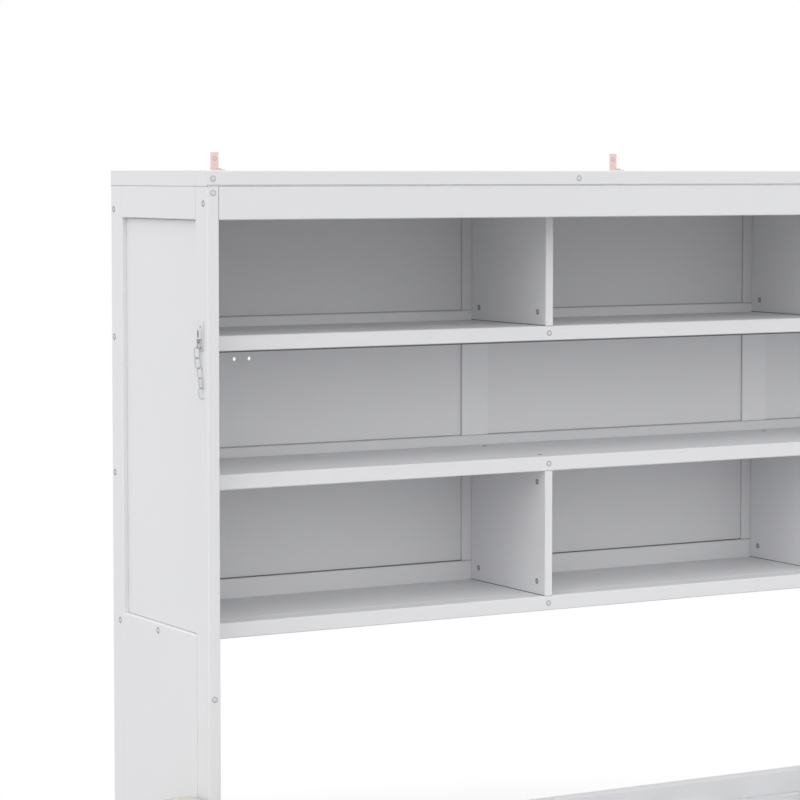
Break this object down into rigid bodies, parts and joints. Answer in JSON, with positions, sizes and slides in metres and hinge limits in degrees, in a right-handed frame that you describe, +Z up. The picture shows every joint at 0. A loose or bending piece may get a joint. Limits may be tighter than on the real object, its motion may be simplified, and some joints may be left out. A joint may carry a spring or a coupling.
{
  "type": "wall bed with sofa",
  "caption": "White painted cabinet wall bed with bookshelves above: a slatted bed frame tilts down on swing legs over a built-in upholstered sofa.",
  "frame": {"origin": "on the floor, under the middle of the whole part's box with the bed lowered", "axes": "+X to the right as seen from the front, -Y to the front, where the bed comes down, and +Z up"},
  "size_m": [2.384, 1.5386, 1.7733],
  "materials": {
    "white_paint": "smooth satin white paint on glued pine boards, very slightly cool",
    "back_paint": "flat white paint on thin panels",
    "pine": "planed bare pine",
    "zinc_steel": "zinc plated steel, satin",
    "tinted_steel": "thin pink-tinted coating on bent steel strip",
    "chromed_steel": "polished chrome on steel",
    "rubber": "matt grey rubber",
    "linen": "woven beige upholstery cloth",
    "dark_wood": "dark stained wood"
  },
  "bodies": {
    "cabinet": {"front_post_left": "white_paint", "front_post_right": "white_paint", "rear_post_left": "white_paint", "rear_post_right": "white_paint", "side_top_rail_left": "white_paint", "side_top_rail_right": "white_paint", "side_panel_left": "white_paint", "side_panel_right": "white_paint", "side_lower_board_left": "white_paint", "side_lower_board_right": "white_paint", "top_front_beam": "white_paint", "top_board": "white_paint", "front_top_rail": "white_paint", "shelf_1": "white_paint", "shelf_2": "white_paint", "shelf_3": "white_paint", "divider_top_left": "white_paint", "divider_top_right": "white_paint", "divider_bottom_left": "white_paint", "divider_bottom_right": "white_paint", "back_top_rail": "white_paint", "back_rail_1": "white_paint", "back_rail_2": "white_paint", "back_rail_3": "white_paint", "rear_stretcher": "white_paint", "back_panel_row_1": "back_paint", "back_panel_row_2": "back_paint", "back_panel_row_3": "back_paint", "sofa_deck": "pine", "sofa_back_rail": "pine", "sofa_support_left": "pine", "sofa_support_right": "pine", "pivot_plate_left": "zinc_steel", "pivot_plate_right": "zinc_steel", "wall_bracket_left": "tinted_steel", "wall_bracket_middle": "tinted_steel", "wall_bracket_right": "tinted_steel", "chain_keeper": "chromed_steel", "sofa_arm_left": "linen", "sofa_arm_right": "linen", "sofa_apron": "linen", "seat_cushion_left": "linen", "seat_cushion_middle": "linen", "seat_cushion_right": "linen", "sofa_arm_skid_left": "dark_wood", "sofa_arm_skid_right": "dark_wood"},
    "bed": {"bed_front_rail": "white_paint", "bed_rear_rail": "white_paint", "bed_end_rail_left": "white_paint", "bed_end_rail_right": "white_paint", "bed_face_panel": "white_paint", "bed_slat_base": "white_paint", "pivot_ear_left": "zinc_steel", "pivot_ear_right": "zinc_steel", "bed_pull": "zinc_steel", "bed_stop_strip": "rubber", "chain_catch": "chromed_steel"},
    "leg_left": {"bed_leg_left": "white_paint"},
    "leg_right": {"bed_leg_right": "white_paint"},
    "chain": {"safety_chain": "chromed_steel"}
  },
  "joints": [
    {"name": "bed_hinge", "type": "hinge", "parent": "cabinet", "child": "bed", "pos_m": [0, 0.4043, 0.567], "axis": [-1, 0, 0], "range_deg": [0, 90]},
    {"name": "leg_left_swing", "type": "hinge", "parent": "bed", "child": "leg_left", "pos_m": [-0.946, -0.7347, 0.476], "axis": [0, -1, 0], "range_deg": [0, 90]},
    {"name": "leg_right_swing", "type": "hinge", "parent": "bed", "child": "leg_right", "pos_m": [0.946, -0.7347, 0.476], "axis": [0, 1, 0], "range_deg": [0, 90]},
    {"name": "chain_swing", "type": "hinge", "parent": "cabinet", "child": "chain", "pos_m": [-1.0695, 0.4063, 1.453], "axis": [1, 0, 0], "range_deg": [-80, 90]}
  ]
}
